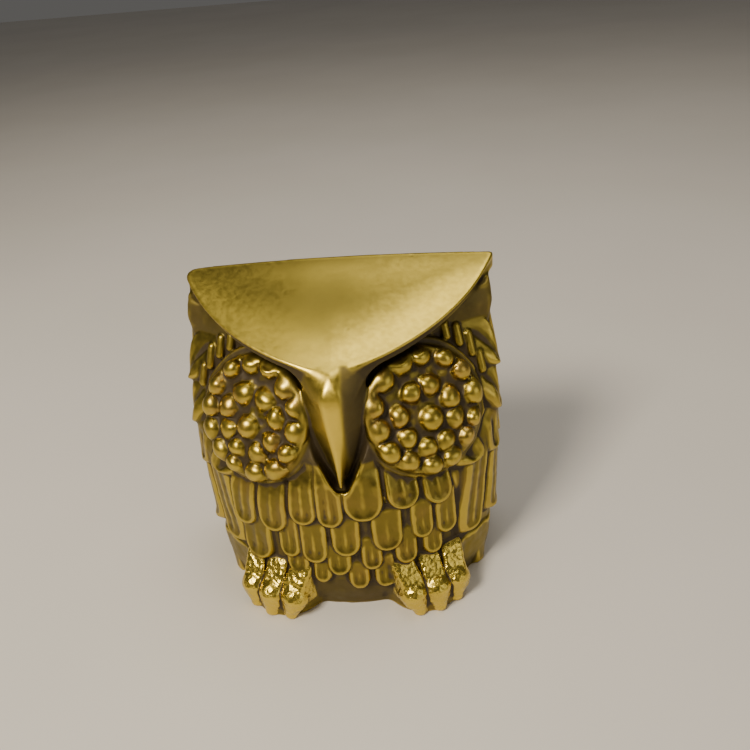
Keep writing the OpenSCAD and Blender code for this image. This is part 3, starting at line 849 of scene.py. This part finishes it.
def brass(name, tone, hollow_brown, rough, grain, copper=0.0, hammered=0.0, brushed=0.0):
    """Cast brass. tone is how bright the flat metal is, and patina how much brown the hollows hold, as oxide
    and as painted shade.
    """
    n = Nodes(name)
    crease, hollow = n.attribute("crease"), n.attribute("hollow")
    cloud, speck = n.noise(90, 5), n.noise(900, 3)
    # High points and polished places are bright, partly as rubbed wear and partly as painted highlight and
    # sheen, and the rest is olive
    wear_and_sheen = n.math("ADD", n.remap(crease, 0.50, 0.05, 0, 0.5), n.math("MULTIPLY", cloud, 0.5))
    wear_and_sheen = n.math("ADD", wear_and_sheen, n.attribute("polish_and_sheen"))
    metal = n.mix(n.remap(wear_and_sheen, 0.15, 1.2, tone, 1.0), OLIVE, BRIGHT)
    if copper:
        metal = n.mix(n.math("MULTIPLY", n.remap(n.noise(160, 3), 0.45, 0.7), copper), metal, COPPER)
    # Brown oxide and painted shade gather in creases and hollows, and painted shade darkens the channels
    oxide_and_shade = n.math("ADD", n.remap(crease, 0.58, 1.05, 0, 0.65), n.remap(hollow, 0.56, 0.86, 0, 0.8))
    oxide_and_shade = n.math("ADD", oxide_and_shade, n.remap(cloud, 0.40, 0.72, -0.10, 0.38))
    oxide_and_shade = n.math("MULTIPLY", oxide_and_shade, hollow_brown)
    # Painted shade of the channels, laid over the oxide and shade of the hollows
    channel = n.math("MULTIPLY", n.attribute("channel"), n.remap(cloud, 0.3, 0.7, 0.80, 0.95))
    oxide_and_shade = n.math("MAXIMUM", oxide_and_shade, channel)
    oxide_and_shade = n.remap(oxide_and_shade, 0.05, 1.0)
    n.put(n.mix(oxide_and_shade, metal, BROWN), n.shader.inputs["Base Color"])
    n.put(n.remap(oxide_and_shade, 0.2, 1.0, 1.0, 0.3), n.shader.inputs["Metallic"])
    mottled = n.math("ADD", n.remap(speck, 0.3, 0.7, -0.05, 0.05), n.remap(oxide_and_shade, 0, 1, rough, 0.62))
    n.put(mottled, n.shader.inputs["Roughness"])
    # The grain and pits of the casting, and the marks of hammer or brush
    normal = n.relief(n.noise(420, 5, 0.6), 0.00010 * grain, 0.5)
    pits = n.remap(n.cells(150), 0.0, 0.10)
    normal = n.relief(pits, 0.00010, 0.3, normal)
    if hammered:
        normal = n.relief(n.cells(1100), 0.00022 * hammered, 0.8, normal)
        normal = n.relief(n.noise(2100, 3), 0.00010 * hammered, 0.8, normal)
    if brushed:
        normal = n.relief(n.noise(700, 2, 0.5, stretch=(0.08, 1.0, 1.0)), 0.00003, brushed, normal)
    n.put(normal, n.shader.inputs["Normal"])
    return n.material


def make_materials():
    """One finish for each material slot of the record."""
    return {
        "satin_brass": brass("satin_brass", 0.16, 0.85, 0.34, 0.12, brushed=0.12),
        "bead_brass": brass("bead_brass", 0.22, 0.85, 0.33, 0.9, copper=0.5),
        "hammered_brass": brass("hammered_brass", 0.85, 1.0, 0.24, 0.8, hammered=0.8),
        "aged_brass": brass("aged_brass", 0.05, 0.8, 0.36, 1.2, copper=0.15),
    }


SLOT_OF = {"crown_plate": "satin_brass", "beak": "satin_brass"}
for side in ("left_", "right_"):
    for part in ("pupil", "inner_beads", "outer_beads"):
        SLOT_OF[side + part] = "bead_brass"
    for part in ("toes", "claws"):
        SLOT_OF[side + part] = "hammered_brass"


# ---------------------------------------------------------------- stage

# The camera is placed in widths of the owl's head
HEAD_WIDTH = 58.0
CAMERA_DOWN, CAMERA_ROLL, CAMERA_TURN = (math.radians(a) for a in (30.9, 5.0, -4.3))
CAMERA_AT = Vector((0.109, -1.974, 1.913)) * HEAD_WIDTH * MM


def make_camera():
    """A phone's wide view from close in front, looking down at the owl."""
    data = bpy.data.cameras.new("camera")
    data.lens, data.sensor_width = 36, 36
    data.clip_start = 0.01
    camera = bpy.data.objects.new("camera", data)
    turn = Matrix.Rotation(-CAMERA_TURN, 3, "Z")
    look = Vector((0, math.cos(CAMERA_DOWN), -math.sin(CAMERA_DOWN)))
    up = Vector((0, math.sin(CAMERA_DOWN), math.cos(CAMERA_DOWN)))
    right = Vector((1, 0, 0))
    tilted_right = math.cos(CAMERA_ROLL) * right - math.sin(CAMERA_ROLL) * up
    tilted_up = math.sin(CAMERA_ROLL) * right + math.cos(CAMERA_ROLL) * up
    x, y, z, at = turn @ tilted_right, turn @ tilted_up, turn @ -look, turn @ CAMERA_AT
    camera.matrix_world = Matrix(((x.x, y.x, z.x, at.x), (x.y, y.y, z.y, at.y),
                                  (x.z, y.z, z.z, at.z), (0, 0, 0, 1)))
    bpy.context.scene.collection.objects.link(camera)
    bpy.context.scene.camera = camera


def area_light(name, at, size, watts, colour, aim=(0, 0, 0.03)):
    """A soft square light that faces the owl's middle."""
    data = bpy.data.lights.new(name, "AREA")
    data.energy, data.size, data.color = watts, size, colour
    light = bpy.data.objects.new(name, data)
    light.location = at
    light.rotation_mode = "QUATERNION"
    light.rotation_quaternion = (Vector(aim) - Vector(at)).to_track_quat("-Z", "Y")
    bpy.context.scene.collection.objects.link(light)


def make_stage():
    """A plain pale floor, soft lights from the front left, and a pale room."""
    mesh = bpy.data.meshes.new("floor")
    half = 1.5
    corners = [(-half, -half, 0), (half, -half, 0), (half, half, 0), (-half, half, 0)]
    mesh.from_pydata(corners, [], [(0, 1, 2, 3)])
    floor = bpy.data.objects.new("floor", mesh)
    bpy.context.scene.collection.objects.link(floor)
    n = Nodes("pale_floor")
    tone = n.mix(n.remap(n.noise(6, 3), 0.3, 0.7), (0.70, 0.66, 0.60, 1), (0.74, 0.70, 0.64, 1))
    n.put(tone, n.shader.inputs["Base Color"])
    n.put(0.6, n.shader.inputs["Roughness"])
    mesh.materials.append(n.material)

    world = bpy.data.worlds.new("room")
    bpy.context.scene.world = world
    world.use_nodes = True
    background = world.node_tree.nodes["Background"]
    background.inputs["Color"].default_value = (0.62, 0.60, 0.57, 1)
    background.inputs["Strength"].default_value = 0.17
    area_light("key", (-0.22, -0.28, 0.42), 0.14, 2.9, (1.0, 0.90, 0.74))
    area_light("fill", (0.40, -0.25, 0.20), 0.30, 0.35, (1.0, 0.95, 0.88))
    area_light("top", (0.05, 0.10, 0.50), 0.30, 0.8, (1.0, 0.95, 0.86))


# ---------------------------------------------------------------- build

make_camera()
make_stage()
owl = sculpt()
materials = make_materials()
for node, piece in build_pieces(owl).items():
    slot = SLOT_OF.get(node, "aged_brass")
    piece.data.materials.append(materials[slot])
    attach(piece, "root")
    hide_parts(node)
